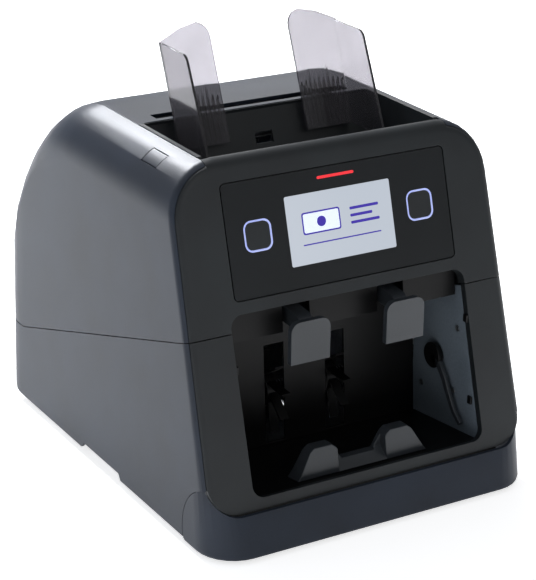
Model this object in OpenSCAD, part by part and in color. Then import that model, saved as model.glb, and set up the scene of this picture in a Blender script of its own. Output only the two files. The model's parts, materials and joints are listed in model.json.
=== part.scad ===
// Banknote counting machine with a top hopper, a front stacker pocket and a lift-up upper unit.
// X runs left to right as seen from the front, Y from front to back, Z up. Millimetres.
// The design is drawn with Y = 0 at the foot of the front face; place() moves it so that the
// origin is at the middle of the footprint, on the surface the machine stands on.

/* [Housing] */
// Overall width, at the foot
body_w = 295; // [294:1:296]
// Overall depth
body_d = 380; // [380:1:384]
// Height of the housing without the note guides
body_h = 290; // [290:1:292]
// Wall thickness of the moulded covers
wall = 2.6; // [2.2:0.1:3]
// Backward lean of the front face, degrees
front_lean = 16.1; // [15.5:0.1:16.5]
// Slope of the parting line between the two units, degrees
split_tilt = 17.6; // [17:0.1:18]
// Height of the parting line at the front
split_front_z = 166; // [164:1:168]
// Radius of the long rounded shoulders
shoulder_r = 42; // [40:1:43]
// Inward draft of the side walls, degrees
side_draft = 1.3; // [1.1:0.1:1.6]

/* [Front] */
// Width of the control panel
panel_w = 198.6; // [196:0.2:200]
// Width of the stacker opening
pocket_w = 211.6; // [210:0.2:213]
// Visible width of the screen
screen_w = 94.4; // [90:0.2:98]
// Visible height of the screen
screen_h = 53.6; // [50:0.2:56]
// Distance of each touch key from the middle
key_x = 72.8; // [70:0.2:75]

/* [Hopper] */
// Inner width of the hopper
hopper_w = 207.8; // [206:0.2:209]
// Backward lean of the hopper back plate, degrees
hopper_lean = 23; // [22.5:0.1:23.5]
// Distance of each note guide from the middle
guide_x = 81; // [78:0.5:84]
// Height of the note guides above the floor
guide_top_z = 347; // [340:1:350]

/* [Hidden] */
$fn = 48;

// colours
graphite = "#3a3c42";
charcoal = "#2c2d31";
black_plastic = "#17181a";
smoke = "#6b676c";
steel = "#b9bcc0";
brass_gold = "#c9a45c";
rubber_black = "#202022";
finger_grey = "#5a5c61";
board_green = "#1f5a3a";

half_w = body_w / 2;
gap = 0.8;                  // parting gap between the two units
seam = 0.4;                 // gap between neighbouring covers
base_z = 7;                 // lower edge of the covers
front_foot = 3.9;           // where the front plane meets the floor
front_y0 = front_foot * cos(front_lean);
corner_r = 8;               // front vertical corners
rear_corner_r = 22;
rear_y = body_d - 0.6;
split_end_y = 345;          // the parting line runs level behind this
hinge_y = body_d - 8;
hinge_z = 74;
hinge_r = 2.5;
run = 0.05;                 // radial running clearance
bezel_d = 9;                // depth of the front mouldings
seam_x = 107.6;             // top seam between the middle cover and the side covers
edge_inset = 3;             // front seam, in from the side walls

// heights measured along the leaning front face
panel_top_s = 283.1;
panel_bottom_s = 195.7;
opening_top_s = 185.3;
opening_bottom_s = 45.8;
screen_s = 238.9;
key_s = 241.1;
light_s = 275.8;

// shafts, as [y, z]
stacker_c = [135, 72];
transport_c = [178, 104];
motor_c = [250, 52];
feed_c = [112, 206];
pickup_c = [141, 208];
finger_c = [96, 167];
axle_r = 4;
frame_x = 116;              // inner face of the lower frames
upper_frame_x = 110;        // inner face of the upper frames
frame_t = 2;
belt_t = 1.2;
belt_gap = 0.4;
motor_pulley_r = 8;
transport_pulley_r = 14;
stacker_pulley_r = 14;
drive_belt_x = -127;        // middle plane of the motor belt
stacker_belt_x = -134;      // middle plane of the stacker belt

// front foot moulding
apron_proud = 4.7;          // how far it stands out of the front face
apron_bottom = 3;
apron_edge_r = 3;           // rounding of the lower edge

// hopper
lip_y = 196;                // top edge of the hopper back plate at z = top_z
top_z = 288;
guide_y = 188;              // plane of the guides' back plates at z = top_z
guide_bottom_z = 268;
rail_c = [207.5, 262];
pinion_r = 8;

function front_y(z) = front_foot + tan(front_lean) * z;
function side_x(z) = half_w - tan(side_draft) * z;
function split_z(y) = split_front_z - tan(split_tilt) * (y - 49);
function hopper_y(y0, z) = y0 + tan(hopper_lean) * (z - top_z);
function arc(c, r, a0, a1, n) = [for (i = [0:n]) let (a = a0 + (a1 - a0) * i / n)
    [c[0] + r * cos(a), c[1] + r * sin(a)]];

// middle of the footprint, from the apron's lower edge to the back
foot_mid_y = (rear_y + apron_y(apron_bottom + apron_edge_r)) / 2;
module place() { translate([0, -foot_mid_y, 0]) children(); }
// local x = X, local y = up along the front face, local z = out of the front face
module on_front() { translate([0, front_foot, 0]) rotate([90 - front_lean, 0, 0]) children(); }
// local z runs up the leaning hopper back plate, local y out of its rear face
module on_hopper(y0) { translate([0, y0, top_z]) rotate([-hopper_lean, 0, 0]) children(); }
// a side outline in the YZ plane, extruded to the width w about x = 0
module side_extrude(w) { rotate([90, 0, 90]) linear_extrude(w, center = true) children(); }
// the same, standing between two x values
module side_slice(x0, x1) {
    translate([x0, 0, 0]) rotate([90, 0, 90]) linear_extrude(x1 - x0) children();
}
// a round bar along X
module bar(c, r, x0, x1) {
    translate([x0, c[0], c[1]]) rotate([0, 90, 0]) cylinder(r = r, h = x1 - x0);
}
module box(x0, x1, y0, y1, z0, z1) {
    translate([x0, y0, z0]) cube([x1 - x0, y1 - y0, z1 - z0]);
}
// a plate with round corners, centred, standing from z = 0 to t
module rounded_plate(w, h, r, t) {
    translate([-w / 2 + r, -h / 2, 0]) cube([w - 2 * r, h, t]);
    translate([-w / 2, -h / 2 + r, 0]) cube([w, h - 2 * r, t]);
    for (x = [-1, 1], y = [-1, 1])
        translate([x * (w / 2 - r), y * (h / 2 - r), 0]) cylinder(r = r, h = t);
}

// ---------------------------------------------------------------- housing volume
rear_arc_c = [255, 100];
rear_arc_a = rear_y - rear_arc_c[0];
rear_arc_b = body_h - 0.5 - rear_arc_c[1];
heel_r = 28;                // rounding of the rear bottom edge
shoulder_c_z = body_h - 0.5 - shoulder_r;

// outline seen from the front, g in from the walls; z is stretched by k and raised by dz
function front_outline(g, top, bottom, k = 1, dz = 0) = let (
    z_c = top - shoulder_r,
    x_c = side_x(z_c) - shoulder_r / cos(side_draft),
    half = concat([[side_x(bottom) - g, bottom]],
        arc([x_c, z_c], max(shoulder_r - g, 1), side_draft, 90, 8)),
    both = concat(half, [for (i = [len(half) - 1:-1:0]) [-half[i][0], half[i][1]]])
) [for (p = both) [p[0], k * p[1] + dz]];

function sink(r, d) = d > 0 ? r - sqrt(max(r * r - d * d, 0)) : 0;

// one hull over thin slices: leaning ones round the front edge, upright ones follow the back
module housing(g, bottom) {
    hull() {
        for (a = [0:22.5:90]) {
            depth = corner_r - (corner_r - g) * sin(a);
            on_front() translate([0, 0, -depth]) linear_extrude(0.01)
                polygon(front_outline(corner_r - (corner_r - g) * cos(a), body_h - 0.5, bottom,
                    1 / cos(front_lean), depth * tan(front_lean)));
        }
        for (a = [90:-9:0]) {
            y = rear_arc_c[0] + (rear_arc_a - g) * cos(a);
            top = rear_arc_c[1] + (rear_arc_b - g) * sin(a) + g;
            side = g + sink(rear_corner_r - g, y - rear_y + rear_corner_r);
            low = max(bottom, base_z + g + sink(heel_r - g, y - rear_y + heel_r));
            translate([0, y, 0]) rotate([90, 0, 0]) linear_extrude(0.01)
                polygon(front_outline(side, top, low));
        }
        for (a = [0:18:90]) {
            y = rear_y - heel_r + (heel_r - g) * cos(a);
            side = g + sink(rear_corner_r - g, y - rear_y + rear_corner_r);
            translate([0, y, 0]) rotate([90, 0, 0]) linear_extrude(0.01)
                polygon(front_outline(side, rear_arc_c[1],
                    base_z + heel_r - (heel_r - g) * sin(a)));
        }
        // open or closed underside
        box(-half_w + g, half_w - g, front_y(bottom) + corner_r, rear_y - heel_r, bottom,
            bottom + 0.01);
    }
}
module shell() {
    difference() {
        housing(0, base_z);
        housing(wall, -20);
    }
}
module upper_region() {
    z = split_z(split_end_y) + gap;
    side_extrude(400) polygon([[-60, split_z(-60) + gap], [split_end_y, z], [hinge_y - 8, z],
        [hinge_y - 8, hinge_z + 3.4], [460, hinge_z + 3.4], [460, 460], [-60, 460]]);
}
module lower_region() {
    z = split_z(split_end_y);
    side_extrude(400) polygon([[-60, -60], [460, -60], [460, z], [split_end_y, z],
        [-60, split_z(-60)]]);
}
module front_slab(d0, d1) {
    rotate([-front_lean, 0, 0]) box(-200, 200, front_y0 + d0, front_y0 + d1, -100, 500);
}
// the front mouldings' outline, which leaves the side covers' rounded front edge
module bezel_outline(g) {
    r = shoulder_r - edge_inset + g;
    x_c = side_x(shoulder_c_z) - shoulder_r / cos(side_draft);
    a = acos((seam_x + g - x_c) / r);
    x0 = side_x(-60) - edge_inset + g;
    translate([0, 460, 0]) rotate([90, 0, 0]) linear_extrude(520) polygon(concat(
        [[-x0, -60], [x0, -60]], arc([x_c, shoulder_c_z], r, side_draft, a, 8),
        [[seam_x + g, 400], [-seam_x - g, 400]],
        arc([-x_c, shoulder_c_z], r, 180 - a, 180 - side_draft, 8)));
}
module pocket_opening(g, d0, d1) {
    h = opening_top_s - opening_bottom_s + 2 * g;
    on_front() translate([0, (opening_top_s + opening_bottom_s) / 2, -d1])
        rounded_plate(pocket_w + 2 * g, h, 10, d1 - d0);
}

// ---------------------------------------------------------------- front foot: apron
u_bottom = 36;              // lower edge of the front panel
u_r = 24;
wing_c = [14, 18];
wing_r = 40;

function apron_y(z) = front_y(z) - apron_proud / cos(front_lean);
// a level slice of the apron, whose corners open out towards the floor
module apron_slice(z, g) {
    r = 34 - 20 * z / 90;
    x_c = side_x(z) - r;
    y_c = apron_y(z) + r;
    translate([0, 0, z]) linear_extrude(0.01) polygon(concat(
        arc([-x_c, y_c], r - g, 180, 270, 7), arc([x_c, y_c], r - g, 270, 360, 7),
        [[side_x(z) - g, 130], [-side_x(z) + g, 130]]));
}
module apron_block(g, bottom) {
    hull() {
        apron_slice(90, g);
        apron_slice(bottom + apron_edge_r, g);
        apron_slice(bottom + 0.9, g + 0.9);
        apron_slice(bottom, g + apron_edge_r);
    }
}
// everything above the U-shaped lower edge of the front panel
module above_u(g) {
    z_c = u_bottom + u_r;
    x_c = side_x(z_c) - edge_inset - u_r;
    translate([0, 200, 0]) rotate([90, 0, 0]) linear_extrude(260) polygon(concat(
        arc([-x_c, z_c], u_r + g, 180, 270, 7), arc([x_c, z_c], u_r + g, 270, 360, 7),
        [[side_x(400) - edge_inset + g, 400], [-side_x(400) + edge_inset - g, 400]]));
}
module front_apron() {
    place() color(graphite) difference() {
        intersection() {
            apron_block(0, apron_bottom);
            bar(wing_c, wing_r, -200, 200);
        }
        apron_block(3, apron_bottom - 20);
        above_u(seam);
    }
}
module lower_front_panel() {
    place() color(charcoal) difference() {
        intersection() {
            housing(0, base_z);
            front_slab(0, 6);
            above_u(0);
            lower_region();
        }
        pocket_opening(0, -5, 30);
    }
}

// ---------------------------------------------------------------- lower covers
handle_y = [152, 162, 226, 236];    // raised hand-hold in the bottom edge
handle_z = 12;

module lower_side_cover() {
    difference() {
        intersection() {
            shell();
            lower_region();
            box(120 + seam, 200, -60, 460, -60, 400);
        }
        intersection() {
            front_slab(-1, 30);
            bezel_outline(seam);
        }
        bar(wing_c, wing_r + seam, 0, 200);
        side_slice(0, 200) polygon([[handle_y[0], -1], [handle_y[1], handle_z],
            [handle_y[2], handle_z], [handle_y[3], -1]]);
    }
    // screw boss towards the frame
    for (y = [110, 300])
        bar([y, 34], 4, frame_x + frame_t, half_w - wall + 0.2);
}
module lower_right_cover() { place() color(graphite) lower_side_cover(); }
module lower_left_cover() { place() color(graphite) mirror([1, 0, 0]) lower_side_cover(); }

inlet_c = [78, 40];                 // x, z
switch_c = [50, 40];
module lower_rear_cover() {
    place() color(graphite) difference() {
        intersection() {
            shell();
            lower_region();
            box(-120, 120, 240, 460, -60, 400);
        }
        box(inlet_c[0] - 14.2, inlet_c[0] + 14.2, 360, 400, inlet_c[1] - 10.2, inlet_c[1] + 10.2);
        box(switch_c[0] - 6.7, switch_c[0] + 6.7, 360, 400, switch_c[1] - 10.2,
            switch_c[1] + 10.2);
        // data ports
        for (x = [-84, -62])
            box(x - 7.2, x + 7.2, 360, 400, 34.8, 42.2);
        box(-46, -28, 360, 400, 32.5, 48);
        // cooling slots
        for (i = [0:6])
            box(-10 + 7 * i - 1.5, -10 + 7 * i + 1.5, 360, 400, 24, 58);
    }
}
module base_plate() {
    place() color(steel) difference() {
        box(-132, 132, 57, 352, 6, 8);
        for (i = [0:8])
            box(-40 + 10 * i, -36 + 10 * i, 200, 260, 5, 9);
    }
}
module rubber_feet() {
    place() color(rubber_black) for (x = [-1, 1], y = [74, 330])
        translate([x * 118, y, 0]) {
            cylinder(r = 10, h = 5);
            cylinder(r = 11, h = 3);
            cylinder(r = 6, h = 6);
        }
}

// ---------------------------------------------------------------- stacker pocket
pocket_half = pocket_w / 2;
pocket_back_y = 114;

pocket_screw_at = [[58, 125], [60, 70], [104, 60]];
pocket_screw_r = 2.5;

module pocket_side_walls() {
    place() color("#4a4f58") for (s = [-1, 1]) mirror([s < 0 ? 1 : 0, 0, 0])
        difference() {
            side_slice(pocket_half, pocket_half + 2) polygon([[front_y(33) + 7, 33], [118, 26],
                [118, split_z(118) - 1], [front_y(161) + 7, split_z(front_y(161) + 7) - 1]]);
            for (p = pocket_screw_at)
                bar(p, pocket_screw_r, 0, 200);
        }
}
module pocket_floor() {
    place() color(black_plastic) side_extrude(pocket_w - 0.4)
        polygon([[front_y(40) + 7, 39], [front_y(40) + 7, 41.5], [pocket_back_y - 1, 31.5],
            [pocket_back_y - 1, 29]]);
}
module pocket_back_plate() {
    place() color(black_plastic) difference() {
        side_extrude(pocket_w - 0.4) polygon([[pocket_back_y, 29], [pocket_back_y + 2, 29],
            [pocket_back_y + 10, 137], [pocket_back_y + 8, 137]]);
        for (s = [-1, 1])
            box(s * 28.5 - 9, s * 28.5 + 9, 90, 150, 33, 116);
    }
}
// low twin-finger support that the counted notes lean on
rest_back_y = 44;
module note_rest() {
    place() color(finger_grey) difference() {
        translate([0, rest_back_y, 0]) rotate([90, 0, 0]) linear_extrude(16)
            polygon([[-61, 39], [-56, 46], [-47, 61], [-43, 64], [-27, 64], [-23, 61], [-15, 48],
                [15, 48], [23, 61], [27, 64], [43, 64], [47, 61], [56, 46], [61, 39]]);
        // the front of the fingers leans back
        side_extrude(200) polygon([[20, 41], [29, 41], [37, 80], [20, 80]]);
        // the valley slopes down towards the front
        side_slice(-22, 22) polygon([[20, 40], [28, 41], [rest_back_y - 4, 50], [40, 60],
            [20, 60]]);
        // clear of the sloping floor
        side_extrude(200) polygon([[20, 30], [20, 42.2], [60, 38], [60, 30]]);
    }
}
module pocket_screws() {
    place() color(steel) for (p = pocket_screw_at, s = [-1, 1])
        bar(p, pocket_screw_r - 0.1, s > 0 ? pocket_half - 0.8 : -pocket_half - 4,
            s > 0 ? pocket_half + 4 : -pocket_half + 0.8);
}

// ---------------------------------------------------------------- lower frames and drive
module lower_frame_outline() {
    polygon([[66, 10], [346, 10], [366, 34], [369, hinge_z - 4.2], [372, hinge_z - 4.2],
        [376, hinge_z], [374, hinge_z + 3.4], [hinge_y - 4, hinge_z + 3.4],
        [hinge_y - 14, split_z(split_end_y) - 5], [split_end_y, split_z(split_end_y) - 5],
        [66, split_z(66) - 8]]);
}
module lower_frames() {
    place() color(steel) for (s = [-1, 1]) mirror([s < 0 ? 1 : 0, 0, 0]) difference() {
        side_slice(frame_x, frame_x + frame_t) lower_frame_outline();
        for (c = [stacker_c, transport_c])
            bar(c, 8, 0, 200);
        bar([hinge_y, hinge_z], hinge_r, 0, 200);
        if (s < 0) bar(motor_c, 12, 0, 200);
        // lightening holes
        for (c = [[110, 110], [215, 56], [300, 40]])
            bar(c, 15, 0, 200);
        for (p = [[58, 125], [60, 70], [104, 60]])
            bar(p, 2.6, 0, 200);
        for (y = [110, 300])
            bar([y, 34], 2, 0, 200);
    }
    // foot flanges on the base plate
    place() color(steel) for (s = [-1, 1])
        box(s > 0 ? frame_x - 12 : -frame_x - frame_t, s > 0 ? frame_x + frame_t : 12 - frame_x,
            80, 340, 8, 10);
}
module bearing(c, x0, x1) {
    difference() {
        union() {
            bar(c, 8, x0, x1);
            bar(c, 9.5, x1 > 0 ? x0 - 1 : x1, x1 > 0 ? x0 : x1 + 1);
        }
        bar(c, axle_r + run, -200, 200);
    }
}
module lower_bearings() {
    place() color(steel) for (c = [stacker_c, transport_c]) {
        bearing(c, frame_x, frame_x + 4);
        bearing(c, -frame_x - 4, -frame_x);
    }
}
module hinge_pins() {
    place() color(steel) for (s = [-1, 1])
        bar([hinge_y, hinge_z], hinge_r, s > 0 ? 108 : -119, s > 0 ? 119 : -108);
}
module drive_motor() {
    place() color("#8d9095") {
        bar(motor_c, 29, -106, -50);
        bar(motor_c, 11, -115, -106);
        for (a = [0, 180])
            bar([motor_c[0] + 19 * cos(a), motor_c[1] + 19 * sin(a)], 3, -116, -106);
        bar(motor_c, 6, -50, -44);
    }
}
module pulley(c, r, x, bore) {
    difference() {
        union() {
            bar(c, r, x - 3, x + 3);
            for (d = [-3, 3])
                bar(c, r + 2.4, x + d - 0.6, x + d + 0.6);
        }
        if (bore > 0) bar(c, bore, -200, 200);
    }
}
module motor_pulley() {
    place() color(steel) {
        pulley(motor_c, motor_pulley_r, drive_belt_x, 0);
        bar(motor_c, 3, -123.4, -115.2);
    }
}
module transport_axle() {
    place() color(steel) bar(transport_c, axle_r, -138, 122);
}
module stacker_axle() {
    place() color(steel) bar(stacker_c, axle_r, -138, 122);
}
module transport_pulley() {
    place() color("#303236") {
        pulley(transport_c, transport_pulley_r, drive_belt_x, axle_r);
        pulley(transport_c, transport_pulley_r, stacker_belt_x, axle_r);
    }
}
module stacker_pulley() {
    place() color("#303236") pulley(stacker_c, stacker_pulley_r, stacker_belt_x, axle_r);
}
module belt(c0, r0, c1, r1, x) {
    difference() {
        hull() {
            bar(c0, r0 + belt_gap + belt_t, x - 2.2, x + 2.2, $fn = 32);
            bar(c1, r1 + belt_gap + belt_t, x - 2.2, x + 2.2, $fn = 32);
        }
        hull() {
            bar(c0, r0 + belt_gap, x - 3, x + 3, $fn = 32);
            bar(c1, r1 + belt_gap, x - 3, x + 3, $fn = 32);
        }
    }
}
module drive_belt() {
    place() color(rubber_black)
        belt(motor_c, motor_pulley_r, transport_c, transport_pulley_r, drive_belt_x);
}
module stacker_belt() {
    place() color(rubber_black)
        belt(transport_c, transport_pulley_r, stacker_c, stacker_pulley_r, stacker_belt_x);
}
module transport_rollers() {
    place() color(rubber_black) for (x = [-70, -24, 24, 70]) difference() {
        bar(transport_c, 13, x - 10, x + 10);
        bar(transport_c, axle_r, -200, 200);
    }
}
fins = 10;
module stacker_wheels() {
    place() color(black_plastic) for (x = [-28.5, 28.5]) difference() {
        translate([x, stacker_c[0], stacker_c[1]]) rotate([0, 90, 0]) {
            translate([0, 0, -5]) cylinder(r = 15, h = 10);
            // swept-back fins
            for (i = [0:fins - 1]) rotate([0, 0, 360 * i / fins])
                translate([12, -6, -4]) rotate([0, 0, 22]) translate([0, -0.9, 0])
                    cube([26, 1.8, 8]);
        }
        bar(stacker_c, axle_r, -200, 200);
    }
}

// ---------------------------------------------------------------- electrics
module power_supply() {
    place() color("#a9adb1") difference() {
        box(8, 104, 286, 350, 8, 54);
        for (i = [0:7])
            box(20 + 10 * i, 25 + 10 * i, 300, 336, 50, 60);
        box(10, 102, 288, 348, 10, 50);
    }
}
module power_inlet() {
    place() color(black_plastic) difference() {
        union() {
            box(inlet_c[0] - 14, inlet_c[0] + 14, 358, 378, inlet_c[1] - 10, inlet_c[1] + 10);
            box(inlet_c[0] - 17, inlet_c[0] + 17, 373.2, 375.2, inlet_c[1] - 12,
                inlet_c[1] + 12);
        }
        box(inlet_c[0] - 12, inlet_c[0] + 12, 362, 390, inlet_c[1] - 8, inlet_c[1] + 8);
    }
    // contact blades
    place() color(brass_gold) for (p = [[-7, -2], [0, 3], [7, -2]])
        box(inlet_c[0] + p[0] - 1, inlet_c[0] + p[0] + 1, 361, 371,
            inlet_c[1] + p[1] - 2, inlet_c[1] + p[1] + 2);
}
module power_rocker() {
    place() color(black_plastic) intersection() {
        bar([368, switch_c[1]], 10.8, switch_c[0] - 6, switch_c[0] + 6);
        box(0, 100, 366, 400, switch_c[1] - 9.4, switch_c[1] + 9.4);
    }
}
module main_board() {
    place() color(board_green) {
        box(-100, 0, 268, 356, 12, 13.6);
        for (x = [-84, -62])
            box(x - 7, x + 7, 358, 378, 35, 42);
        box(-45.8, -28.2, 358, 378, 32.7, 47.8);
        box(-96, -24, 354.4, 356, 12, 52);
        box(-96, -24, 356, 358.2, 34, 46);
        box(-70, -40, 290, 320, 13.6, 17);
        for (i = [0:3])
            translate([-88 + 9 * i, 340, 13.6]) cylinder(r = 3.5, h = 12);
        for (x = [-96, -4], y = [272, 350])
            translate([x, y, 8]) cylinder(r = 2.5, h = 4);
    }
}

// ---------------------------------------------------------------- upper covers
button_a = 35.7;            // slope of the release button on the shoulder
button_y = 138;
button_l = 23;
button_w = 13;
module on_shoulder(y) {
    x_c = side_x(shoulder_c_z) - shoulder_r / cos(side_draft);
    translate([-x_c, y, shoulder_c_z]) rotate([0, -button_a, 0]) children();
}
module upper_side_cover() {
    difference() {
        intersection() {
            shell();
            upper_region();
            box(seam_x + seam, 200, -60, 460, -60, 400);
        }
        intersection() {
            front_slab(-1, bezel_d + seam);
            bezel_outline(seam);
        }
    }
}
module upper_right_cover() { place() color(graphite) upper_side_cover(); }
module upper_left_cover() {
    place() color(graphite) difference() {
        mirror([1, 0, 0]) upper_side_cover();
        on_shoulder(button_y)
            box(-button_w / 2 - 0.5, button_w / 2 + 0.5, -button_l / 2 - 0.5, button_l / 2 + 0.5,
                shoulder_r - 8, shoulder_r + 5);
    }
}
module release_button() {
    place() color(graphite) on_shoulder(button_y) intersection() {
        box(-button_w / 2, button_w / 2, -button_l / 2, button_l / 2, shoulder_r - 7,
            shoulder_r + 3);
        translate([0, 30, 0]) rotate([90, 0, 0]) cylinder(r = shoulder_r - 0.2, h = 60);
    }
}
slot_half = 89;
module top_cover() {
    place() color(graphite) difference() {
        intersection() {
            shell();
            upper_region();
            box(-seam_x, seam_x, lip_y + 0.6, 460, -60, 400);
        }
        box(-slot_half, slot_half, lip_y + 6, lip_y + 17, 270, 300);
    }
}
module front_bezel() {
    h = panel_top_s - panel_bottom_s;
    place() color(charcoal) difference() {
        intersection() {
            housing(0, base_z);
            front_slab(0, bezel_d);
            bezel_outline(0);
            upper_region();
        }
        pocket_opening(0, -5, 40);
        // recess for the control panel
        on_front() translate([0, (panel_top_s + panel_bottom_s) / 2, -2.6])
            rounded_plate(panel_w + 2, h + 2, 4.4, 10);
        // room for the electronics behind it
        on_front() translate([0, (panel_top_s + panel_bottom_s) / 2, -20])
            rounded_plate(panel_w - 8, h - 8, 4, 22);
    }
}
key_cap = 20.6;
key_hole = 21.2;
key_ring = 24;
module display_panel() {
    h = panel_top_s - panel_bottom_s;
    place() color(charcoal) difference() {
        on_front() translate([0, (panel_top_s + panel_bottom_s) / 2, -2.6])
            rounded_plate(panel_w, h, 3.4, 2.4);
        on_front() translate([0, screen_s, -5]) rounded_plate(screen_w, screen_h, 1.5, 10);
        for (s = [-1, 1]) on_front() translate([s * key_x, key_s, -5])
            rounded_plate(key_ring, key_ring, 6.6, 10);
        on_front() translate([0, light_s, -5]) rounded_plate(33, 2.2, 1, 10);
    }
}
module lcd_screen() {
    place() color("#dfe6f2") on_front() {
        translate([0, screen_s, -3]) rounded_plate(screen_w - 0.1, screen_h - 0.1, 1.4, 2.6);
        translate([-54, screen_s - 33, -6.5]) cube([108, 66, 3.5]);
    }
}
module status_light() {
    place() color("#e8323a") on_front() {
        translate([0, light_s, -3.2]) rounded_plate(32.9, 2.1, 0.95, 3);
        translate([-18, light_s - 2, -4.6]) cube([36, 4, 1.4]);
    }
}
module key_rings() {
    place() color("#dfe8ff") for (s = [-1, 1]) on_front() translate([s * key_x, key_s, 0])
        difference() {
            translate([0, 0, -4.4]) rounded_plate(key_ring - 0.1, key_ring - 0.1, 6.5, 4.2);
            translate([0, 0, -9]) rounded_plate(key_hole, key_hole, 5.3, 12);
        }
}
module key(s) {
    place() color(charcoal) on_front() translate([s * key_x, key_s, 0]) {
        translate([0, 0, -4]) rounded_plate(key_cap, key_cap, 5, 3.7);
        translate([0, 0, -5.6]) cylinder(r = 4, h = 2);
    }
}
module left_key() { key(-1); }
module right_key() { key(1); }
module control_board() {
    place() color(board_green) on_front() difference() {
        translate([-92, 200, -9.2]) cube([184, 78, 1.6]);
        for (x = [-1, 1], y = [204, 274])
            translate([x * 88, y, -12]) cylinder(r = 1.6, h = 6);
    }
}

// ---------------------------------------------------------------- hopper
hopper_half = hopper_w / 2;
hopper_front_y = 92.6;
module hopper_walls() {
    place() color(charcoal) {
        for (s = [-1, 1]) mirror([s < 0 ? 1 : 0, 0, 0]) difference() {
            side_slice(hopper_half, seam_x - 0.2) polygon([
                [front_y(208) + 11, 208], [hopper_y(lip_y, 208), 208],
                [hopper_y(lip_y, top_z), top_z], [lip_y, body_h - 0.8],
                [front_y(286) + 16, body_h - 0.8], [front_y(282) + 11, 282]]);
            // clear of the roller shafts
            for (c = [feed_c, pickup_c])
                bar(c, axle_r + 1, 0, 200);
        }
        box(-hopper_half, hopper_half, hopper_front_y + 2.7, hopper_front_y + 4.5, 214, 283);
    }
}
module hopper_back_plate() {
    place() color(charcoal) difference() {
        union() {
            side_extrude(hopper_w - 0.4) polygon([
                [hopper_y(lip_y, 214), 214], [hopper_y(lip_y, 214) + 2.8, 214],
                [lip_y + 1.3, 284.6], [lip_y + 5.6, 284.6], [lip_y + 5.6, 286.6],
                [lip_y + 0.2, 286.6], [hopper_y(lip_y, 286.6), 286.6]]);
            // lip behind which the guide slot lies
            box(-hopper_half + 0.2, hopper_half - 0.2, lip_y - 0.4, lip_y + 0.4, 284, 289);
        }
        box(-8, 8, 160, 200, 261, 270);
        // slots for the pickup rollers
        for (x = [-62, -22, 22, 62])
            box(x - 8, x + 8, 140, 180, 200, 232);
    }
}
module hopper_floor() {
    place() color(charcoal) difference() {
        side_extrude(hopper_w - 0.4) polygon([[hopper_front_y + 4.9, 218],
            [hopper_front_y + 4.9, 220], [hopper_y(lip_y, 224) - 0.3, 224],
            [hopper_y(lip_y, 222) - 0.3, 222]]);
        for (x = [-62, -22, 22, 62])
            box(x - 9, x + 9, 90, 160, 200, 240);
    }
}
module guide_rail() {
    place() color(steel) {
        bar(rail_c, 3, -upper_frame_x, upper_frame_x);
        // pinion post
        translate([0, rail_c[0] + 14, 254]) cylinder(r = 3, h = 16);
        box(-12, 12, rail_c[0] + 8, rail_c[0] + 28, 252, 254);
        for (s = [-1, 1])
            box(s > 0 ? 12 : -upper_frame_x, s > 0 ? upper_frame_x : -12,
                rail_c[0] + 18, rail_c[0] + 22, 252, 254);
    }
}

// ---------------------------------------------------------------- note guides
guide_w = 45;
guide_t = 2.2;
function lean_len(z) = (z - top_z) / cos(hopper_lean);
module guide_back_outline() {
    v0 = lean_len(guide_bottom_z);
    v1 = lean_len(guide_top_z);
    polygon(concat([[0, v0], [guide_w, v0]],
        arc([guide_w - 13, v1 - 1], 13, 0, 80, 6),
        [[guide_w * 0.42, v1 + 8.5], [0, v1]]));
}
module guide_flange_outline() {
    y0 = hopper_y(guide_y, guide_bottom_z);
    y1 = hopper_y(guide_y, guide_top_z);
    polygon(concat([[y0 - 48, guide_bottom_z], [y0, guide_bottom_z], [y1, guide_top_z]],
        arc([y1 - 38, guide_top_z - 9], 9, 90, 157, 6)));
}
// the right guide; the fold is at the outer edge
module guide() {
    translate([guide_x, 0, 0]) {
        on_hopper(guide_y) rotate([90, 0, 0]) mirror([1, 0, 0])
            linear_extrude(guide_t) guide_back_outline();
        side_slice(-guide_t, 0) guide_flange_outline();
        // stiffening ribs with pointed ends
        for (i = [0:9]) {
            top = i == 3 || i == 7 ? 32 : 24 - 1.5 * abs(i - 5);
            on_hopper(guide_y) translate([-3 - 4.3 * i, 0, 0]) rotate([0, -90, 0])
                linear_extrude(1) polygon([[lean_len(guide_bottom_z) + 4, -1], [top, -1], [14, 3.4],
                    [-8, 3.4], [lean_len(guide_bottom_z) + 4, 1.4]]);
        }
    }
}
rib_back = 3.45 / cos(hopper_lean);     // where the hook meets the ribs, behind the guide plane
// hook over the hopper lip, with the sliding shoe and its rack
module carriage() {
    translate([guide_x, 0, 0]) {
        difference() {
            union() {
                box(-32, -10, rail_c[0] - 4.2, rail_c[0] + 3.5, 256, 296);
                side_slice(-32, -10) polygon([
                    [hopper_y(guide_y + rib_back, 292.4), 292.4], [rail_c[0] + 3.5, 292.4],
                    [rail_c[0] + 3.5, 296], [hopper_y(guide_y + rib_back, 296), 296]]);
            }
            bar(rail_c, 3 + run, -200, 200);
        }
    }
}
rack_l = 110;
module rack(s) {
    // s = 1 is the right carriage, whose rack passes in front of the pinion
    y = rail_c[0] + 14 - s * (pinion_r + 1.2);
    box(guide_x - 32 - rack_l + 22, guide_x - 10, y - 1, y + 1, 257, 261);
    if (s > 0) box(guide_x - 32, guide_x - 10, rail_c[0] + 3, y + 1, 257, 261);
    if (s < 0) box(guide_x - 32, guide_x - 10, rail_c[0] + 3, y + 1, 264, 268);
    if (s < 0) box(guide_x - 32, guide_x - 28, y - 1, y + 1, 257, 268);
}
module right_guide() { place() color(smoke, 0.6) guide(); }
module left_guide() { place() color(smoke, 0.6) mirror([1, 0, 0]) guide(); }
module right_carriage() { place() color(black_plastic) { carriage(); rack(1); } }
module left_carriage() {
    place() color(black_plastic) mirror([1, 0, 0]) { carriage(); rack(-1); }
}
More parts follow.
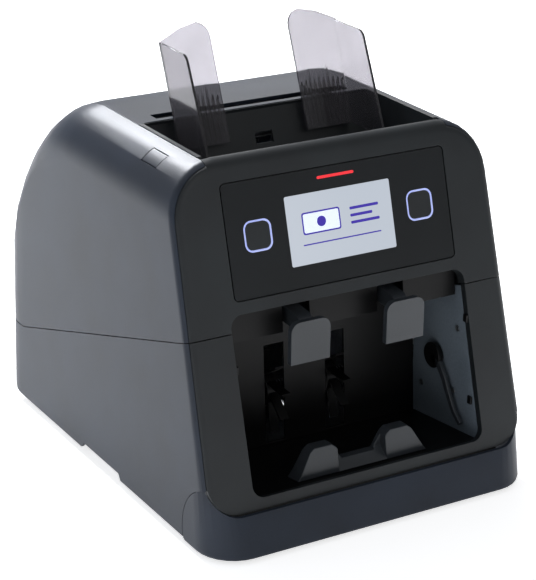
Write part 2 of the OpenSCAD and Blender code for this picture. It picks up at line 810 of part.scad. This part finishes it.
module guide_pinion() {
    place() color("#d8d8d2") translate([0, rail_c[0] + 14, 256.2]) difference() {
        cylinder(r = pinion_r, h = 6);
        translate([0, 0, -1]) cylinder(r = 3 + run, h = 20);
    }
}

// ---------------------------------------------------------------- upper frames and feed
module upper_frames() {
    place() color(steel) for (s = [-1, 1]) mirror([s < 0 ? 1 : 0, 0, 0]) difference() {
        side_slice(upper_frame_x, upper_frame_x + frame_t) polygon([
            [82, 158.5], [split_end_y - 6, split_z(split_end_y) + 7],
            [hinge_y - 5, hinge_z - 1], [hinge_y - 2, hinge_z - 4.2], [hinge_y + 2, hinge_z - 4.2],
            [hinge_y + 4, hinge_z], [hinge_y - 1, 100], [358, 165], [332, 222], [290, 262],
            [250, 274], [214, 276], [108, 276], [98, 240]]);
        for (c = [feed_c, pickup_c, finger_c])
            bar(c, 8, 0, 200);
        bar(rail_c, 3, 0, 200);
        bar([hinge_y, hinge_z], hinge_r + run, 0, 200);
        bar([250, 170], 30, 0, 200);
    }
}
module upper_bearings() {
    place() color(steel) for (c = [feed_c, pickup_c, finger_c]) {
        bearing(c, upper_frame_x, upper_frame_x + 4);
        bearing(c, -upper_frame_x - 4, -upper_frame_x);
    }
}
module feed_axle() { place() color(steel) bar(feed_c, axle_r, -118, 118); }
module pickup_axle() { place() color(steel) bar(pickup_c, axle_r, -118, 118); }
module feed_rollers() {
    place() color(rubber_black) for (x = [-62, -22, 22, 62]) difference() {
        bar(feed_c, 10, x - 6, x + 6);
        bar(feed_c, axle_r, -200, 200);
    }
}
module pickup_rollers() {
    place() color(rubber_black) for (x = [-62, -22, 22, 62]) difference() {
        bar(pickup_c, 17, x - 6, x + 6);
        bar(pickup_c, axle_r, -200, 200);
    }
}
ceiling_z = 153;
module pocket_ceiling() {
    place() color(black_plastic) difference() {
        union() {
            side_extrude(pocket_w - 2.4) polygon([[62, ceiling_z], [150, ceiling_z],
                [150, ceiling_z + 2], [64, ceiling_z + 2], [68, 182], [65.8, 182]]);
            for (s = [-1, 1]) mirror([s < 0 ? 1 : 0, 0, 0])
                side_slice(pocket_half - 3.2, pocket_half - 1.2) polygon([[66, ceiling_z + 1],
                    [104, ceiling_z + 1], [104, 184], [69, 184]]);
        }
        for (s = [-1, 1])
            box(s * 43 - 12, s * 43 + 12, 50, 112, 140, 200);
        bar(finger_c, axle_r + 0.5, -200, 200);
    }
}
// press fingers that hold the counted notes down, on arms from a cross shaft
module press_fingers() {
    place() color(finger_grey) for (s = [-1, 1]) translate([s * 43, 0, 0]) difference() {
        union() {
            translate([0, 46.5, 154]) rotate([90, 0, 0]) rounded_plate(34.6, 28, 8, 5);
            translate([-17.3, 41.5, 134]) cube([34.6, 5, 14]);
            side_slice(-6, 6) polygon([[46, 156], [46, 164], [54, 169], [90, 172], [96, 159],
                [88, 158], [60, 156]]);
            bar(finger_c, 8, -8, 8);
        }
        bar(finger_c, axle_r, -200, 200);
    }
}
module finger_axle() { place() color(steel) bar(finger_c, axle_r, -118, 118); }

base_plate();
rubber_feet();
lower_left_cover();
lower_right_cover();
lower_rear_cover();
lower_front_panel();
front_apron();
pocket_side_walls();
pocket_back_plate();
pocket_floor();
note_rest();
lower_frames();
drive_motor();
lower_bearings();
power_supply();
power_inlet();
main_board();
drive_belt();
stacker_belt();
hinge_pins();
pocket_screws();
power_rocker();
motor_pulley();
transport_axle();
transport_rollers();
transport_pulley();
stacker_axle();
stacker_wheels();
stacker_pulley();
upper_left_cover();
upper_right_cover();
top_cover();
front_bezel();
display_panel();
lcd_screen();
status_light();
key_rings();
control_board();
hopper_walls();
hopper_back_plate();
hopper_floor();
guide_rail();
upper_frames();
upper_bearings();
pocket_ceiling();
left_guide();
left_carriage();
right_guide();
right_carriage();
guide_pinion();
feed_axle();
feed_rollers();
pickup_axle();
pickup_rollers();
press_fingers();
finger_axle();
left_key();
right_key();
release_button();
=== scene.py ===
"""Looks of a banknote counting machine: moulded covers, smoked note guides, lit screen and keys."""

import json
import math

import bmesh
import bpy
from mathutils import Matrix, Vector


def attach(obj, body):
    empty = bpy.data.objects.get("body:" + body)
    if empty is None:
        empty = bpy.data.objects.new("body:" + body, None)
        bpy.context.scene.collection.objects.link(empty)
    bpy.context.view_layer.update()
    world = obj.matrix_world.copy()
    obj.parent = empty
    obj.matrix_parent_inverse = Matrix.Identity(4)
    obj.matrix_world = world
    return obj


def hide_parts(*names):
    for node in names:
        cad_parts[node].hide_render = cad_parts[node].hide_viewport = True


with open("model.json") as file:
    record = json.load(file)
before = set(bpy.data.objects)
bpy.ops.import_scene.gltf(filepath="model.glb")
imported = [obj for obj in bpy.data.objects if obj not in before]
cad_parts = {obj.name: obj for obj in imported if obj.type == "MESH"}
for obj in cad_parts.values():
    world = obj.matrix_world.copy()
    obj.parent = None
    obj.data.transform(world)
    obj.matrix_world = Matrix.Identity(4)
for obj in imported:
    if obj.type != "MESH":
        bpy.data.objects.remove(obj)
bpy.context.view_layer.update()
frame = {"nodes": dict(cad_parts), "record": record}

MM = 0.001
FOOT_MID_Y = 190.07  # the drawing's Y = 0 lies this far in front of the origin, mm
FRONT_FOOT_Y = 3.9  # where the leaning front meets the table, drawing mm
FRONT_LEAN = math.radians(16.1)
SCREEN_MID_UP = 238.9  # middle of the screen, measured up the leaning front, mm
SCREEN_DEPTH = 0.4  # the screen's face lies this far behind the front, mm
REAR_SOCKETS_Y = 356.5  # the main board's rear sockets lie behind this, drawing mm

# numbered sockets of a Mix node set to colour
COLOUR_A = 6
COLOUR_B = 7
COLOUR_OUT = 2

SLOTS = {part["node"]: part["material_slot"] for part in frame["record"]["subparts"]}
BODIES = frame["record"]["behaviour"]["bodies"]
BODY_OF = {node: body for body, nodes in BODIES.items() for node in nodes}

# drawing millimetres to the frame in metres
PLACE = Matrix.Diagonal((MM, MM, MM, 1.0)) @ Matrix.Translation((0.0, -FOOT_MID_Y, 0.0))
# local x across, local y up the leaning front, local z out of it
ON_FRONT = PLACE @ Matrix.Translation((0.0, FRONT_FOOT_Y, 0.0)) @ Matrix.Rotation(
    math.radians(90.0) - FRONT_LEAN, 4, "X"
)


# ---------------------------------------------------------------- colours and nodes
def colour(hex_value):
    """An sRGB hex value as linear RGBA."""
    rgb = []
    for shift in (16, 8, 0):
        channel = ((hex_value >> shift) & 255) / 255.0
        rgb.append(channel / 12.92 if channel <= 0.04045 else ((channel + 0.055) / 1.055) ** 2.4)
    return (*rgb, 1.0)


def scale_of(size_mm):
    """The texture scale at which a noise pattern's features are about this size."""
    return 1.0 / (size_mm * MM)


def add(tree, kind, settings=None, **links):
    """Adds a node, with settings for its properties and sockets, and links from other sockets."""
    node = tree.nodes.new(kind)
    for key, value in (settings or {}).items():
        if isinstance(key, int) or key in node.inputs:
            node.inputs[key].default_value = value
        else:
            setattr(node, key, value)
    for key, source in links.items():
        tree.links.new(source, node.inputs[key.replace("_", " ")])
    return node


def blank_material(name, settings=None):
    """A new material with one Principled shader and its settings."""
    material = bpy.data.materials.new(name)
    material.use_nodes = True
    tree = material.node_tree
    tree.nodes.clear()
    shader = add(tree, "ShaderNodeBsdfPrincipled", settings)
    add(tree, "ShaderNodeOutputMaterial", Surface=shader.outputs["BSDF"])
    return material, tree, shader


def textured(name, dark, light, grain_mm, roughness, rough_spread, bump_mm, metallic=0.0,
             ior=1.5, specular=0.5):
    """A moulded or cast surface: fine grain in height and gloss, and a faint 60 mm drift of colour."""
    material, tree, shader = blank_material(name, {
        "Metallic": metallic, "IOR": ior, "Specular IOR Level": specular,
    })
    place = add(tree, "ShaderNodeTexCoord").outputs["Object"]
    grain = add(tree, "ShaderNodeTexNoise", {
        "Scale": scale_of(grain_mm), "Detail": 2.0, "Roughness": 0.55,
    }, Vector=place)
    drift = add(tree, "ShaderNodeTexNoise", {"Scale": scale_of(60.0), "Detail": 3.0}, Vector=place)
    mixed = add(tree, "ShaderNodeMath", {"operation": "MULTIPLY_ADD", 1: 0.6})
    tree.links.new(grain.outputs["Fac"], mixed.inputs[0])
    tree.links.new(drift.outputs["Fac"], mixed.inputs[2])
    ramp = add(tree, "ShaderNodeValToRGB", Fac=mixed.outputs["Value"])
    low, high = ramp.color_ramp.elements
    low.position = 0.55
    low.color = colour(dark)
    high.color = colour(light)
    tree.links.new(ramp.outputs["Color"], shader.inputs["Base Color"])
    gloss = add(tree, "ShaderNodeMapRange", {
        "To Min": roughness - rough_spread, "To Max": roughness + rough_spread,
    }, Value=grain.outputs["Fac"])
    tree.links.new(gloss.outputs["Result"], shader.inputs["Roughness"])
    bump = add(tree, "ShaderNodeBump", {"Strength": 1.0, "Distance": bump_mm * MM},
               Height=grain.outputs["Fac"])
    tree.links.new(bump.outputs["Normal"], shader.inputs["Normal"])
    return material


# ---------------------------------------------------------------- finishes
def graphite_abs():
    """Satin ABS from a spark-eroded mould: a fine speckled sheen. Grain 0.7 mm, coarser than real."""
    return textured("graphite_abs_spark_eroded", 0x262B34, 0x2C333F, 0.7, 0.37, 0.12, 0.05,
                    ior=1.53, specular=0.2)


def charcoal_abs():
    """Matt moulded ABS of the front mouldings: darker, with a finer grain."""
    return textured("charcoal_abs_matt_moulded", 0x1B1E21, 0x23282B, 0.5, 0.44, 0.06, 0.025)


def panel_film():
    """Hard-coated polyester film on the control panel: smooth, slightly glossy, near black."""
    return textured("panel_polyester_hard_coated", 0x16191B, 0x1B1E21, 0.8, 0.32, 0.03, 0.002)


def finger_abs():
    """Semi-gloss moulded ABS of the note fingers: mid grey, soft highlights on the edges."""
    return textured("finger_abs_semi_gloss", 0x2E3236, 0x373B40, 0.7, 0.30, 0.04, 0.006)


def black_polycarbonate():
    """Black moulded polycarbonate: inner guides and wheels, faint sheen."""
    return textured("black_polycarbonate_moulded", 0x040405, 0x080809, 0.6, 0.42, 0.05, 0.01,
                    ior=1.58, specular=0.22)


def blue_grey_sheet():
    """Painted pocket side panels: smooth blue grey with a slight orange peel of 2 mm."""
    return textured("pocket_panel_painted", 0x66707A, 0x7A858F, 2.0, 0.38, 0.04, 0.01)


def zinc_steel():
    """Zinc-plated sheet steel: pale grey, spangled at 3 mm."""
    return textured("sheet_steel_zinc_plated", 0x8A8D91, 0xB4B7BA, 3.0, 0.38, 0.10, 0.004,
                    metallic=1.0)


def ground_steel():
    """Ground steel shafts and bearings: soft rings left by the wheel, drawn 2.6 mm apart to show."""
    material, tree, shader = blank_material("shaft_steel_ground", {"Metallic": 1.0})
    place = add(tree, "ShaderNodeTexCoord").outputs["Object"]
    # a wave texture repeats every pi / 10 of its scaled coordinate
    rings = add(tree, "ShaderNodeTexWave", {
        "Scale": math.pi / 10.0 * scale_of(2.618), "Distortion": 2.0, "Detail": 2.0,
        "bands_direction": "X",
    }, Vector=place)
    shade = add(tree, "ShaderNodeMix", {
        "data_type": "RGBA", COLOUR_A: colour(0x9B9DA0), COLOUR_B: colour(0xC2C4C6),
    }, Factor=rings.outputs["Fac"])
    gloss = add(tree, "ShaderNodeMapRange", {"To Min": 0.2, "To Max": 0.32},
                Value=rings.outputs["Fac"])
    tree.links.new(shade.outputs[COLOUR_OUT], shader.inputs["Base Color"])
    tree.links.new(gloss.outputs["Result"], shader.inputs["Roughness"])
    return material


def motor_steel():
    """Drawn steel motor can: smooth grey metal with light handling marks."""
    return textured("motor_can_steel_drawn", 0x75787C, 0x8C8F93, 6.0, 0.34, 0.06, 0.003,
                    metallic=1.0)


def rubber(name, dark, light, grain_mm):
    """Moulded rubber: dull black with a fine dusty grain."""
    return textured(name, dark, light, grain_mm, 0.75, 0.08, 0.02, ior=1.52)


def circuit_board():
    """Glass-epoxy circuit board: green solder mask over faint blocks of tracks, 12.5 by 6.25 mm."""
    material, tree, shader = blank_material("circuit_board_solder_mask", {"Roughness": 0.35})
    place = add(tree, "ShaderNodeTexCoord").outputs["Object"]
    # a brick is half a unit long
    tracks = add(tree, "ShaderNodeTexBrick", {
        "Scale": 0.5 * scale_of(12.5), "Mortar Size": 0.02, "Color1": colour(0x17492F),
        "Color2": colour(0x1D5A3A), "Mortar": colour(0x2F7A52),
    }, Vector=place)
    tree.links.new(tracks.outputs["Color"], shader.inputs["Base Color"])
    return material


def aluminium_case():
    """Folded aluminium case of the power supply, satin."""
    return textured("power_case_aluminium_folded", 0x9EA1A4, 0xB9BCBF, 4.0, 0.36, 0.06, 0.003,
                    metallic=1.0)


def white_nylon():
    """Moulded natural nylon: off-white, slightly waxy."""
    return textured("nylon_natural_moulded", 0xCFCFC8, 0xE2E2DC, 1.5, 0.42, 0.05, 0.01, ior=1.53)


def clouded(tree, size_mm, first, second):
    """A colour that drifts between two over a size in millimetres, as light does in a moulding."""
    place = add(tree, "ShaderNodeTexCoord").outputs["Object"]
    cloud = add(tree, "ShaderNodeTexNoise", {"Scale": scale_of(size_mm), "Detail": 1.0}, Vector=place)
    shade = add(tree, "ShaderNodeMix", {
        "data_type": "RGBA", COLOUR_A: colour(first), COLOUR_B: colour(second),
    }, Factor=cloud.outputs["Fac"])
    return shade.outputs[COLOUR_OUT]


def smoked_acrylic():
    """Smoked moulded acrylic of the note guides: clear grey sheet, darker through its edges."""
    material, tree, shader = blank_material("smoked_acrylic_moulded", {
        "Roughness": 0.06, "IOR": 1.49, "Transmission Weight": 0.92,
    })
    tree.links.new(clouded(tree, 25.0, 0x9F9CA1, 0xABA8AD), shader.inputs["Base Color"])
    return material


def lit(name, hex_value, strength, edge_hex):
    """A lit moulding: even glow with a faint cloudiness of 15 mm from its diffuser."""
    material, tree, shader = blank_material(name, {"Emission Strength": strength, "Roughness": 0.2})
    glow = clouded(tree, 15.15, edge_hex, hex_value)
    tree.links.new(glow, shader.inputs["Emission Color"])
    tree.links.new(glow, shader.inputs["Base Color"])
    return material


def red_light_pipe():
    """Lit red acrylic light pipe of the status bar."""
    return lit("red_acrylic_light_pipe", 0xE83A40, 0.8, 0xD02A33)


def white_light_pipe():
    """Lit opal acrylic rings round the touch keys, cool white."""
    return lit("opal_acrylic_light_ring", 0xB9C2EE, 0.62, 0x8E9BDC)


def screen_glass():
    """Lit liquid-crystal display behind coated cover glass: pale blue white, slightly uneven."""
    material, tree, shader = blank_material("display_glass_lit", {
        "Base Color": colour(0x30343A), "Emission Strength": 0.82, "Roughness": 0.12,
        "Coat Weight": 0.5, "Coat Roughness": 0.03,
    })
    place = add(tree, "ShaderNodeTexCoord").outputs["Object"]
    spread = add(tree, "ShaderNodeTexNoise", {"Scale": scale_of(111.1), "Detail": 0.0}, Vector=place)
    shade = add(tree, "ShaderNodeMix", {
        "data_type": "RGBA", COLOUR_A: colour(0xC6CFDC), COLOUR_B: colour(0xD9E0EA),
    }, Factor=spread.outputs["Fac"])
    tree.links.new(shade.outputs[COLOUR_OUT], shader.inputs["Emission Color"])
    return material


def painted_shade_black():
    """Painted shade: a soot-black matt finish for sheets put in deep, unlit gaps, standing in for the
    shade there.
    """
    return textured("painted_shade_black_matt", 0x060607, 0x0B0B0C, 1.0, 0.6, 0.05, 0.005)


FINISH = {
    "graphite_abs": graphite_abs(),
    "charcoal_abs": charcoal_abs(),
    "panel_film": panel_film(),
    "screen_glass": screen_glass(),
    "red_light_pipe": red_light_pipe(),
    "white_light_pipe": white_light_pipe(),
    "smoked_acrylic": smoked_acrylic(),
    "finger_abs": finger_abs(),
    "black_pc": black_polycarbonate(),
    "blue_grey_panel": blue_grey_sheet(),
    "zinc_steel": zinc_steel(),
    "ground_steel": ground_steel(),
    "motor_steel": motor_steel(),
    "belt_rubber": rubber("belt_rubber_moulded", 0x17181A, 0x222325, 0.8),
    "roller_rubber": rubber("roller_rubber_ground", 0x1B1C1F, 0x2B2C30, 0.5),
    "foot_rubber": rubber("foot_rubber_moulded", 0x141416, 0x202022, 0.7),
    "circuit_board": circuit_board(),
    "aluminium_case": aluminium_case(),
    "white_nylon": white_nylon(),
}
# painted shade: the near-black finish of the sheets that stand in for shade inside gaps
PAINTED_SHADE = painted_shade_black()


# ---------------------------------------------------------------- making pieces
def mark_edges(bm, degrees):
    """Smooth faces, with edges sharper than this left crisp."""
    limit = math.radians(degrees)
    for face in bm.faces:
        face.smooth = True
    for edge in bm.edges:
        edge.smooth = len(edge.link_faces) != 2 or edge.calc_face_angle(0.0) < limit


def link_mesh(name, bm):
    """Makes the mesh an object in the scene."""
    mesh = bpy.data.meshes.new(name)
    bm.to_mesh(mesh)
    bm.free()
    thing = bpy.data.objects.new(name, mesh)
    bpy.context.scene.collection.objects.link(thing)
    return thing


def finish_piece(name, bm, body, slot, material=None, crisp=40.0):
    """Makes the mesh an object that rides a body and takes its finish from a slot."""
    mark_edges(bm, crisp)
    piece = link_mesh(name, bm)
    piece.data.materials.append(material or FINISH[slot])
    even = piece.modifiers.new("even_shading", "WEIGHTED_NORMAL")
    even.keep_sharp = True
    even.weight = 60
    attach(piece, body)
    return piece


def round_edges(bm, width_mm, segments=3, degrees=35.0):
    """Bevels the edges that are sharper than an angle."""
    limit = math.radians(degrees)
    edges = [e for e in bm.edges if len(e.link_faces) == 2 and e.calc_face_angle(0.0) > limit]
    bmesh.ops.bevel(bm, geom=edges, offset=width_mm * MM, offset_type="OFFSET", affect="EDGES",
                    segments=segments, profile=0.5, material=-1, clamp_overlap=True)


def cad_copy(node, join_flats):
    """A copy of a CAD node's mesh, with doubles merged and, if asked, its flat faces joined."""
    bm = bmesh.new()
    bm.from_mesh(frame["nodes"][node].data)
    bmesh.ops.remove_doubles(bm, verts=bm.verts, dist=0.02 * MM)
    if join_flats:
        bmesh.ops.dissolve_limit(bm, angle_limit=math.radians(0.6), verts=bm.verts,
                                 edges=bm.edges)
        bmesh.ops.triangulate(bm, faces=[f for f in bm.faces if len(f.verts) > 4])
    return bm


def skin(node, width_mm, segments=2, degrees=35.0, crisp=40.0, join_flats=True):
    """The finished form of a CAD node: the same shape with rounded edges."""
    bm = cad_copy(node, join_flats)
    round_edges(bm, width_mm, segments, degrees)
    piece = finish_piece(node + "_finished", bm, BODY_OF[node], SLOTS[node], crisp=crisp)
    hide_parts(node)
    return piece


def rounded_bar(bm, width, height, radius, depth, matrix):
    """A plate with rounded corners, in millimetres, centred on the local origin."""
    made = bmesh.ops.create_cube(bm, size=1.0, matrix=Matrix.Diagonal((width, height, depth, 1.0)))
    verts = made["verts"]
    upright = {e for v in verts for e in v.link_edges
               if abs(e.verts[0].co.z - e.verts[1].co.z) > depth * 0.5}
    result = bmesh.ops.bevel(bm, geom=list(upright), offset=radius, offset_type="OFFSET",
                             affect="EDGES", segments=6, profile=0.5, material=-1,
                             clamp_overlap=True)
    region = {v for f in result["faces"] for v in f.verts}
    region.update(v for v in verts if v.is_valid)
    bmesh.ops.transform(bm, matrix=matrix, verts=list(region))


def bent_arm(bm, points, x, width, height, taper):
    """A flat arm along a bent line in the YZ plane, drawn out section by section, narrowing."""
    sections = []
    for i, (y, z) in enumerate(points):
        before = points[max(i - 1, 0)]
        after = points[min(i + 1, len(points) - 1)]
        turn = math.atan2(before[0] - after[0], after[1] - before[1])
        sections.append(PLACE @ Matrix.Translation((x, y, z)) @ Matrix.Rotation(turn, 4, "X")
                        @ Matrix.Diagonal((width, height * (1.0 - taper * i), 1.0, 1.0)))
    made = bmesh.ops.create_grid(bm, x_segments=1, y_segments=1, size=0.5, matrix=sections[0])
    rim = list(made["verts"][0].link_faces[0].edges)
    for last, following in zip(sections, sections[1:]):
        made = bmesh.ops.extrude_edge_only(bm, edges=rim)
        drawn = [part for part in made["geom"] if isinstance(part, bmesh.types.BMVert)]
        rim = [part for part in made["geom"]
               if isinstance(part, bmesh.types.BMEdge) and all(v in drawn for v in part.verts)]
        bmesh.ops.transform(bm, matrix=following @ last.inverted(), verts=drawn)
    bmesh.ops.holes_fill(bm, edges=rim, sides=4)
    bmesh.ops.recalc_face_normals(bm, faces=bm.faces)


# ---------------------------------------------------------------- the machine
def moulded_covers():
    """Outer mouldings with softened edges."""
    for node in ("upper_left_cover", "upper_right_cover", "top_cover", "lower_left_cover",
                 "lower_right_cover", "lower_rear_cover"):
        skin(node, 0.5, degrees=50.0, crisp=50.0)
    for node in ("front_bezel", "lower_front_panel", "front_apron"):
        skin(node, 0.8, 3, degrees=50.0, crisp=50.0)
    skin("hopper_walls", 0.6)
    skin("hopper_back_plate", 0.4)
    skin("hopper_floor", 0.3)
    skin("release_button", 0.6, 3)


def control_panel():
    """The panel with its screen, status light, lit rings and touch keys."""
    skin("display_panel", 0.3)
    for node in ("lcd_screen", "status_light", "key_rings"):
        skin(node, 0.2)
    skin("left_key", 0.5, 3)
    skin("right_key", 0.5, 3)


def figure_on_screen():
    """A plain pictogram of a banknote with three bars beside it, lit violet blue on the display."""
    violet = 0x3A2E8C
    pale = 0xCBD3DF
    ink = lit("display_ink_violet", violet, 0.85, violet)
    paper = lit("display_paper", pale, 0.85, pale)
    note_x = -17.0
    note_up = 4.0
    # each plate: middle across and up, width, height, corner radius; lift is height off the screen
    outline_and_bars = (
        (note_x, note_up, 34.0, 17.0, 2.0),
        (22.0, 9.5, 26.0, 2.2, 0.8),
        (19.0, 4.0, 20.0, 2.2, 0.8),
        (22.0, -1.5, 26.0, 2.2, 0.8),
        (0.0, -12.0, 70.0, 1.0, 0.4),
    )
    note_face = ((note_x, note_up, 31.6, 14.6, 1.4),)
    note_middle = ((note_x, note_up, 8.0, 8.0, 3.9),)
    for name, material, plates, lift in (
        ("display_figure_ink", ink, outline_and_bars, 0.02),
        ("display_figure_paper", paper, note_face, 0.06),
        ("display_figure_middle", ink, note_middle, 0.1),
    ):
        bm = bmesh.new()
        for x, up, width, height, radius in plates:
            place = ON_FRONT @ Matrix.Translation((x, SCREEN_MID_UP + up, lift - SCREEN_DEPTH))
            rounded_bar(bm, width, height, radius, 0.04, place)
        finish_piece(name, bm, "upper_unit", "screen_glass", material)


def note_pocket():
    """The pocket's walls and floor, the rest that notes stand on and the fingers that press them."""
    for node, width_mm in (("pocket_side_walls", 0.3), ("pocket_back_plate", 0.4),
                           ("pocket_floor", 0.3), ("pocket_ceiling", 0.4), ("pocket_screws", 0.3)):
        skin(node, width_mm)
    skin("note_rest", 0.8, 3, 30.0, join_flats=False)
    skin("press_fingers", 0.7, 3, 30.0, join_flats=False)


def pocket_arm(side, tag):
    """A dark side arm on a pocket wall: a round hub and a bent, narrowing arm."""
    hub_y = 84.0
    hub_z = 93.0
    bm = bmesh.new()
    hub = PLACE @ Matrix.Translation((side * 102.4, hub_y, hub_z)) @ Matrix.Rotation(
        math.radians(90.0), 4, "Y"
    )
    bmesh.ops.create_cone(bm, cap_ends=True, segments=40, radius1=11.0, radius2=10.0, depth=5.6,
                          matrix=hub)
    round_edges(bm, 1.0, 3, 40.0)
    finish_piece("pocket_arm_hub_" + tag, bm, "base_unit", "finger_abs", FINISH["black_pc"])
    bm = bmesh.new()
    bend = ((hub_y, hub_z), (74.0, 88.0), (66.0, 78.0), (59.0, 66.0), (51.0, 55.0), (42.0, 48.0))
    bent_arm(bm, bend, side * 101.4, 3.6, 7.0, taper=0.08)
    round_edges(bm, 0.8, 2, 40.0)
    finish_piece("pocket_arm_" + tag, bm, "base_unit", "finger_abs")


def pocket_clips(side, tag):
    """Two small clips on a pocket wall."""
    bm = bmesh.new()
    for y, z in ((47.0, 138.0), (36.0, 71.0)):
        rounded_bar(bm, 2.2, 5.0, 0.8, 6.0, PLACE @ Matrix.Translation((side * 104.9, y, z)))
    finish_piece("pocket_clips_" + tag, bm, "base_unit", "black_pc")


def painted_shade_sheets(sides):
    """Sheets of painted shade behind the foot of the front and beside the pocket's ceiling: soot-black
    plates that hide the floor and pale parts seen through gaps, standing in for the shade inside.
    """
    bm = bmesh.new()
    # painted shade: a black sheet behind the foot of the front hides the white floor seen through the
    # gap under it
    rounded_bar(bm, 250.0, 2.0, 0.5, 28.0, PLACE @ Matrix.Translation((0.0, 25.0, 24.0)))
    finish_piece("foot_painted_shade_sheet", bm, "base_unit", "black_pc", PAINTED_SHADE)
    for side, tag in sides:
        bm = bmesh.new()
        # painted shade: black sheets beside the pocket's ceiling hide pale parts seen through the gap
        # there
        rounded_bar(bm, 1.0, 44.0, 0.3, 34.0,
                    PLACE @ Matrix.Translation((side * 108.6, 84.0, 166.0)))
        finish_piece("upper_painted_shade_sheet_" + tag, bm, "upper_unit", "black_pc", PAINTED_SHADE)


def pocket_fittings():
    """Arms, clips and sheets of painted shade, which are finish detail only."""
    sides = ((1.0, "right"), (-1.0, "left"))
    for side, tag in sides:
        pocket_arm(side, tag)
        pocket_clips(side, tag)
    painted_shade_sheets(sides)


def note_guides():
    """The two smoked guides, with their moulded edges just broken."""
    skin("left_guide", 0.35, 2, 30.0)
    skin("right_guide", 0.35, 2, 30.0)


def hidden_parts():
    """What lies behind the covers, under the base and at the back."""
    for node in ("base_plate", "lower_frames", "upper_frames", "guide_rail", "hinge_pins",
                 "lower_bearings", "upper_bearings", "power_supply", "main_board",
                 "control_board", "drive_motor", "motor_pulley", "transport_axle",
                 "transport_pulley", "stacker_axle", "stacker_pulley", "feed_axle",
                 "pickup_axle", "finger_axle", "drive_belt", "stacker_belt", "guide_pinion",
                 "left_carriage", "right_carriage", "power_rocker", "power_inlet",
                 "rubber_feet", "feed_rollers", "pickup_rollers", "transport_rollers",
                 "stacker_wheels"):
        piece = skin(node, 0.3)
        if node == "main_board":
            blacken_sockets(piece)


def blacken_sockets(board):
    """The rear sockets on the main board are black moulded polycarbonate."""
    board.data.materials.append(FINISH["black_pc"])
    for face in board.data.polygons:
        if face.center.y > (REAR_SOCKETS_Y - FOOT_MID_Y) * MM:
            face.material_index = 1


# ---------------------------------------------------------------- stage
def studio_floor():
    """A pale floor lit from within like a light table."""
    bm = bmesh.new()
    bmesh.ops.create_grid(bm, x_segments=1, y_segments=1, size=6.0)
    floor = link_mesh("studio_floor", bm)
    material = blank_material("studio_floor_white_paint", {
        "Base Color": colour(0xF2F2F2), "Roughness": 0.9, "Emission Color": colour(0xFFFFFF),
        "Emission Strength": 0.72,
    })[0]
    floor.data.materials.append(material)


def studio_lights():
    """Four soft square lights, the strongest behind the machine."""
    for name, size, power, tint, place, target in (
        ("left_softbox", 1.3, 4.0, (0.66, 0.80, 1.0), (-2.0, 0.3, 1.2), (0.0, 0.0, 0.15)),
        ("rear_softbox", 0.7, 58.0, (0.93, 0.95, 1.0), (0.0, 1.55, 1.5), (0.0, 0.0, 0.2)),
        ("rear_right_softbox", 0.9, 4.0, (1.0, 1.0, 1.0), (1.3, 1.9, 1.1), (0.0, 0.0, 0.25)),
        ("front_fill", 0.7, 2.5, (1.0, 1.0, 1.0), (0.3, -1.8, 1.3), (0.0, -0.1, 0.1)),
    ):
        data = bpy.data.lights.new(name, "AREA")
        data.size = size
        data.energy = power
        data.color = tint
        lamp = bpy.data.objects.new(name, data)
        lamp.location = place
        lamp.rotation_euler = (Vector(target) - Vector(place)).to_track_quat("-Z", "Y").to_euler()
        bpy.context.scene.collection.objects.link(lamp)


def studio_world():
    """White backdrop; the light it gives is strong from behind, above and the left, weak in front."""
    world = bpy.data.worlds.new("studio_white")
    world.use_nodes = True
    tree = world.node_tree
    tree.nodes.clear()
    facing = add(tree, "ShaderNodeSeparateXYZ",
                 Vector=add(tree, "ShaderNodeTexCoord").outputs["Generated"])
    shares = []
    for axis, full_at, most in (("X", -1.0, 0.15), ("Y", 1.0, 0.3), ("Z", 1.0, 0.3)):
        share = add(tree, "ShaderNodeMapRange", {
            "From Max": full_at, "To Min": 0.03, "To Max": most,
        }, Value=facing.outputs[axis])
        shares.append(share.outputs["Result"])
    strength = shares[0]
    for share in shares[1:]:
        total = add(tree, "ShaderNodeMath", {"operation": "ADD"})
        tree.links.new(strength, total.inputs[0])
        tree.links.new(share, total.inputs[1])
        strength = total.outputs["Value"]
    glow = add(tree, "ShaderNodeBackground", {"Color": (0.95, 0.97, 1.0, 1.0)}, Strength=strength)
    backdrop = add(tree, "ShaderNodeBackground", {"Color": (1.0, 1.0, 1.0, 1.0)})
    seen = add(tree, "ShaderNodeLightPath")
    mix = add(tree, "ShaderNodeMixShader", Fac=seen.outputs["Is Camera Ray"])
    tree.links.new(glow.outputs["Background"], mix.inputs[1])
    tree.links.new(backdrop.outputs["Background"], mix.inputs[2])
    output = add(tree, "ShaderNodeOutputWorld", Surface=mix.outputs["Shader"])
    output.is_active_output = True
    bpy.context.scene.world = world


def camera():
    """A long lens at three-quarter view from the left, looking down."""
    turn = math.radians(30.85)
    down = math.radians(21.72)
    roll = math.radians(0.72)
    ahead = Vector((math.sin(turn) * math.cos(down), math.cos(turn) * math.cos(down),
                    -math.sin(down)))
    level = Vector((math.cos(turn), -math.sin(turn), 0.0))
    up = level.cross(ahead)
    right = math.cos(roll) * level + math.sin(roll) * up
    upright = math.cos(roll) * up - math.sin(roll) * level
    data = bpy.data.cameras.new("view_camera")
    data.sensor_width = 36.0
    data.lens = 125.398
    view = bpy.data.objects.new("view_camera", data)
    axes = Matrix((right, upright, -ahead)).transposed().to_4x4()
    view.matrix_world = Matrix.Translation((-0.7901, -1.3351, 0.7504)) @ axes
    bpy.context.scene.collection.objects.link(view)
    bpy.context.scene.camera = view


moulded_covers()
control_panel()
figure_on_screen()
note_pocket()
pocket_fittings()
note_guides()
hidden_parts()
studio_floor()
studio_world()
studio_lights()
camera()
bpy.context.scene.view_settings.view_transform = "Standard"
